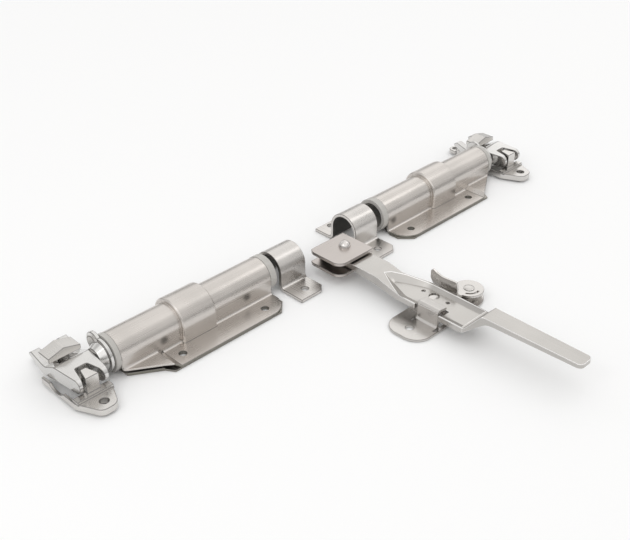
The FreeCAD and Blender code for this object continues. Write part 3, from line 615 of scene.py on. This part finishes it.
# The three holes in the floor of the dish are drilled, so their edges stay sharp
HOLES_X = (3.0 * MM, 20.0 * MM)
HOLES_Y = (-195.5 * MM, -152.0 * MM)
SHARP_BOXES = {"handle": HOLES_X + HOLES_Y}

eased = {}
for node, body, slot, radius, materials, flat_angle in EASED:
    piece = eased_piece(node, radius * MM, materials, flat_angle, sharp_box=SHARP_BOXES.get(node))
    finished(piece, body, [node])
    eased[node] = piece
    print(node, "faces", len(piece.data.polygons))

# %% [markdown]
# The wall between the two hub plates stands behind the round end of the handle. From the front
# the gap at the left of the plates is open, so the wall's side arm is cut away here, level with
# the inner face of the wall, and so is the wall's left end.

# %% Wall of the hub, kept behind the handle's round end
WALL_EDGE = 0.40 * MM
WALL_DEPTH = 7.5 * MM
WALL_OPEN = 15.0 * MM
wall_low, wall_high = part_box("hub_web")
hub_wall = eased_piece("hub_web", WALL_EDGE, HUB_FINISH, JOIN_FLAT, cuts=[
    ((0, wall_high.y - WALL_DEPTH, 0), (0, 1, 0)),
    ((wall_low.x + WALL_OPEN, 0, 0), (1, 0, 0)),
])
finished(hub_wall, "hub", ["hub_web"])
print("hub wall faces", len(hub_wall.data.polygons))

# %% [markdown]
# ## Sheared edges
# Where the sheet was cut, the edge is rougher and darker than the rolled face. On the brackets
# it shows as an olive line under the foot. Those faces are found by their normals, which lie
# level, and by their height above the door, and they take the second material of the piece.
# The bends of the arch were bevelled too, but they get no painted dark outline: they take the
# sheet's own finish again.

# %% Dark sheared edges of the brackets
# Places in a piece's list of finishes: its sheet, its cut faces or its inner faces in painted shade, its
# rounded edges with a painted outline
SHEET, SECOND, EDGES = 0, 1, 2
LEVEL = 0.35
FOOT_TOP = base_top + 3.4 * MM
ARCH_SIDE = 23.5 * MM
ARCH_END = 1.5 * MM


def mark_sheared(piece, highest, nearest):
    """Level-facing faces below a height and away from the arch are the sheet's cut edges."""
    count = 0
    for face in piece.data.polygons:
        low_enough = face.center.z < highest
        outside = abs(face.center.y) > nearest
        if abs(face.normal.z) < LEVEL and low_enough and outside:
            face.material_index = SECOND
            count += 1
    return count


def brighten_bends(piece, lowest, end_margin):
    """Take the painted dark outline off the bends and give them the sheet's own finish, above the foot and
    between the two ends.
    """
    ends = [corner[0] for corner in piece.bound_box]
    first, last = min(ends) + end_margin, max(ends) - end_margin
    count = 0
    for face in piece.data.polygons:
        if face.material_index == EDGES and face.center.z > lowest and first < face.center.x < last:
            face.material_index = SHEET
            count += 1
    return count


for side in ("right", "left"):
    marked = mark_sheared(eased[side + "_bracket_cover"], FOOT_TOP, ARCH_SIDE)
    marked += mark_sheared(eased[side + "_backing_plate"], FOOT_TOP, 0.0)
    bends = brighten_bends(eased[side + "_bracket_cover"], FOOT_TOP, ARCH_END)
    print(side, "bracket: faces on cut edges", marked, "and on bends", bends)

# %% [markdown]
# The inside of a saddle is left rough, and the shade under its arch is painted into its colour as
# nearly black. Its faces are those that look at the bar's axis from close by, so two short tests find them.

# %% Painted shade inside the saddles
SADDLE_SHEET = 3.0 * MM
TOWARDS_AXIS = -0.3
NO_LENGTH = 1e-6


def mark_shaded_inside(piece, reach):
    """Faces near the axis that look towards it take the second material, the painted shade."""
    count = 0
    for face in piece.data.polygons:
        across = Vector((0.0, face.center.y, face.center.z - bar_height))
        if across.length < NO_LENGTH or abs(face.center.y) > reach:
            continue
        if face.normal.dot(across.normalized()) < TOWARDS_AXIS:
            face.material_index = SECOND
            count += 1
    return count


inner_reach = saddle_top - bar_height - SADDLE_SHEET
for side in ("right", "left"):
    print(side, "saddle: faces inside", mark_shaded_inside(eased[side + "_saddle"], inner_reach))

# %% [markdown]
# ## Round heads of the rivet and of the catch's pin
# The handle turns on a thick rivet with a polished domed head, and the catch lever on a
# smaller one. A dome can come from a UV sphere, a screw modifier or a bent grid. Geometry
# Nodes bend a grid here: its columns become angles round the axis and its rows run along the
# profile, so the whole rivet follows from a few named sizes and both rivets use one tree.

# %% Geometry Nodes tree for a rivet
def named_input(tree, name, value, kind="NodeSocketFloat"):
    """Input of a tree with its first value. The socket's identifier is given back."""
    socket = tree.interface.new_socket(name, in_out="INPUT", socket_type=kind)
    if value is not None:
        socket.default_value = value
    return socket.identifier


def maths(tree, operation, first, second=None, label=""):
    """Math node whose inputs are sockets or plain numbers."""
    node = add_node(tree, "ShaderNodeMath", label, operation=operation)
    for index, value in enumerate((first, second)):
        if value is None:
            continue
        if isinstance(value, (int, float)):
            node.inputs[index].default_value = value
        else:
            tree.links.new(value, node.inputs[index])
    return node.outputs[0]


AROUND = 65
DOME_ROWS = 20
RIVET_ROWS = 29

rivet_tree = bpy.data.node_groups.new("turned_rivet", "GeometryNodeTree")
rivet_tree.interface.new_socket("Geometry", in_out="OUTPUT", socket_type="NodeSocketGeometry")
rivet_ids = {
    "Head Radius": named_input(rivet_tree, "Head Radius", 8.5 * MM),
    "Head Height": named_input(rivet_tree, "Head Height", 5.0 * MM),
    "Shank Radius": named_input(rivet_tree, "Shank Radius", 6.0 * MM),
    "Shank Length": named_input(rivet_tree, "Shank Length", 19.0 * MM),
    "Tail Radius": named_input(rivet_tree, "Tail Radius", 7.5 * MM),
    "Tail Height": named_input(rivet_tree, "Tail Height", 2.0 * MM),
    "Centre": named_input(rivet_tree, "Centre", None, "NodeSocketVector"),
    "Finish": named_input(rivet_tree, "Finish", None, "NodeSocketMaterial"),
}
print("rivet tree has inputs", sorted(rivet_ids))

# %% [markdown]
# The profile runs from the pole of the head down its dome, under the head, along the shank,
# out under the tail and back to the axis. The row number says how far along it a point is.
# Rows 0 to 20 are the dome; the eight after it are the corners of the shank and tail.

# %% Profile and turning
EDGE = 0.35 * MM
HALF_ROW = 0.5
SEAM_GAP = 0.002 * MM

group_in = add_node(rivet_tree, "NodeGroupInput", "sizes of the rivet")
sizes = group_in.outputs
grid = add_node(rivet_tree, "GeometryNodeMeshGrid", "columns turn, rows follow the profile")
grid.inputs["Vertices X"].default_value = AROUND
grid.inputs["Vertices Y"].default_value = RIVET_ROWS
grid.inputs["Size X"].default_value = AROUND - 1
grid.inputs["Size Y"].default_value = RIVET_ROWS - 1
where = add_node(rivet_tree, "ShaderNodeSeparateXYZ", "column and row")
position = add_node(rivet_tree, "GeometryNodeInputPosition")
rivet_tree.links.new(position.outputs[0], where.inputs[0])
column = maths(rivet_tree, "ADD", where.outputs["X"], (AROUND - 1) / 2, "column")
row = maths(rivet_tree, "ADD", where.outputs["Y"], (RIVET_ROWS - 1) / 2, "row")
turn = maths(rivet_tree, "MULTIPLY", column, 2 * math.pi / (AROUND - 1), "angle round the axis")

dome_share = maths(rivet_tree, "DIVIDE", row, DOME_ROWS, "share of the dome")
dome_angle = maths(rivet_tree, "MULTIPLY", dome_share, math.pi / 2, "angle on the dome")
dome_radius = maths(rivet_tree, "MULTIPLY", maths(rivet_tree, "SINE", dome_angle), sizes["Head Radius"])
dome_height = maths(rivet_tree, "MULTIPLY", maths(rivet_tree, "COSINE", dome_angle), sizes["Head Height"])


def later_rows(start_value, steps, label):
    """Value that follows the dome's for the first rows, then one given value for each row after them."""
    value = start_value
    for index, step in enumerate(steps):
        passed = maths(rivet_tree, "GREATER_THAN", row, DOME_ROWS + HALF_ROW + index, label)
        choose = add_node(rivet_tree, "GeometryNodeSwitch", label, input_type="FLOAT")
        rivet_tree.links.new(passed, choose.inputs["Switch"])
        rivet_tree.links.new(value, choose.inputs["False"])
        if isinstance(step, (int, float)):
            choose.inputs["True"].default_value = step
        else:
            rivet_tree.links.new(step, choose.inputs["True"])
        value = choose.outputs[0]
    return value


head_edge = maths(rivet_tree, "SUBTRACT", sizes["Head Radius"], EDGE, "rounded lower edge")
shank_low = maths(rivet_tree, "MULTIPLY", sizes["Shank Length"], -1.0, "end of the shank")
tail_low = maths(rivet_tree, "SUBTRACT", shank_low, sizes["Tail Height"], "end of the tail")
tail_edge = maths(rivet_tree, "SUBTRACT", sizes["Tail Radius"], EDGE, "rounded edge of the tail")
tail_near = maths(rivet_tree, "ADD", tail_low, EDGE, "start of that edge")
radius_steps = [head_edge, sizes["Shank Radius"], sizes["Shank Radius"], sizes["Tail Radius"],
                sizes["Tail Radius"], tail_edge, 0.0, 0.0]
height_steps = [0.0, 0.0, shank_low, shank_low, tail_near, tail_low, tail_low, tail_low]
profile_radius = later_rows(dome_radius, radius_steps, "radius of the row")
profile_height = later_rows(dome_height, height_steps, "height of the row")

place = add_node(rivet_tree, "ShaderNodeCombineXYZ", "point on the turned surface")
x_part = maths(rivet_tree, "MULTIPLY", maths(rivet_tree, "COSINE", turn), profile_radius)
y_part = maths(rivet_tree, "MULTIPLY", maths(rivet_tree, "SINE", turn), profile_radius)
rivet_tree.links.new(x_part, place.inputs["X"])
rivet_tree.links.new(y_part, place.inputs["Y"])
rivet_tree.links.new(profile_height, place.inputs["Z"])
moved = add_node(rivet_tree, "ShaderNodeVectorMath", "to the rivet's own place", operation="ADD")
rivet_tree.links.new(place.outputs[0], moved.inputs[0])
rivet_tree.links.new(sizes["Centre"], moved.inputs[1])
bend = add_node(rivet_tree, "GeometryNodeSetPosition", "bend the grid")
rivet_tree.links.new(grid.outputs["Mesh"], bend.inputs["Geometry"])
rivet_tree.links.new(moved.outputs[0], bend.inputs["Position"])
seam = add_node(rivet_tree, "GeometryNodeMergeByDistance", "close the seam and the poles")
seam.inputs["Distance"].default_value = SEAM_GAP
rivet_tree.links.new(bend.outputs[0], seam.inputs["Geometry"])
smooth = add_node(rivet_tree, "GeometryNodeSetShadeSmooth", "smooth dome")
rivet_tree.links.new(seam.outputs[0], smooth.inputs["Geometry"])
real = add_node(rivet_tree, "GeometryNodeRealizeInstances", "plain mesh")
rivet_tree.links.new(smooth.outputs[0], real.inputs[0])
paint = add_node(rivet_tree, "GeometryNodeSetMaterial", "finish")
rivet_tree.links.new(real.outputs[0], paint.inputs["Geometry"])
rivet_tree.links.new(sizes["Finish"], paint.inputs["Material"])
group_out = add_node(rivet_tree, "NodeGroupOutput")
rivet_tree.links.new(paint.outputs[0], group_out.inputs[0])
print("rivet tree has", len(rivet_tree.nodes), "nodes")

# %% [markdown]
# The hub's rivet has a high polished dome, and the pin of the catch a flat one in the finish of
# its plate. The sizes of the solids give the rest, so each rivet fills the place of its solid.

# %% The two rivets
SMOOTH_ANGLE = math.radians(40.0)
HUB_HEAD_RADIUS = 7.5 * MM
HUB_HEAD = 7.6 * MM
HUB_SHANK_RADIUS = 6.0 * MM
HUB_TAIL = 2.0 * MM
HUB_TAIL_INSET = 1.0 * MM
PIN_HEAD = 1.5 * MM
PIN_RADIUS = 4.0 * MM
PIN_TAIL = 0.3 * MM
LEVER_TOP = 3.3 * MM


def turned_rivet(name, centre, finish, values):
    """A rivet from the tree: its sizes are set by each socket's identifier."""
    piece = linked(name, bpy.data.meshes.new(name))
    modifier = piece.modifiers.new("turned rivet", "NODES")
    modifier.node_group = rivet_tree
    for label, value in values.items():
        modifier[rivet_ids[label]] = value
    modifier[rivet_ids["Centre"]] = centre
    modifier[rivet_ids["Finish"]] = finish
    piece = settled(piece)
    work = bmesh.new()
    work.from_mesh(piece.data)
    bmesh.ops.remove_doubles(work, verts=work.verts, dist=MERGE_DISTANCE)
    bmesh.ops.recalc_face_normals(work, faces=work.faces)
    work.to_mesh(piece.data)
    work.free()
    piece.data.set_sharp_from_angle(angle=SMOOTH_ANGLE)
    return piece


def on_top_of(low, high, plate_top):
    """Middle of a rivet, at the level where its head starts."""
    return ((low.x + high.x) / 2, (low.y + high.y) / 2, plate_top)


hub_centre = on_top_of(rivet_low, rivet_high, hub_top)
hub_rivet = turned_rivet("hub_rivet_turned", hub_centre, polished_head, {
    "Head Radius": HUB_HEAD_RADIUS,
    "Head Height": HUB_HEAD,
    "Shank Radius": HUB_SHANK_RADIUS,
    "Shank Length": hub_top - rivet_low.z - HUB_TAIL,
    "Tail Radius": (rivet_high.x - rivet_low.x) / 2 - HUB_TAIL_INSET,
    "Tail Height": HUB_TAIL,
})
finished(hub_rivet, "hub", ["hub_rivet"])
pin_centre = on_top_of(pin_low, pin_high, lever_bottom + LEVER_TOP)
catch_pin = turned_rivet("catch_pin_turned", pin_centre, catch_sheet, {
    "Head Radius": (pin_high.x - pin_low.x) / 2,
    "Head Height": PIN_HEAD,
    "Shank Radius": PIN_RADIUS,
    "Shank Length": pin_centre[2] - pin_low.z - PIN_TAIL,
    "Tail Radius": PIN_RADIUS,
    "Tail Height": PIN_TAIL,
})
finished(catch_pin, "frame_set", ["catch_pin"])
print("rivets", len(hub_rivet.data.polygons), len(catch_pin.data.polygons))
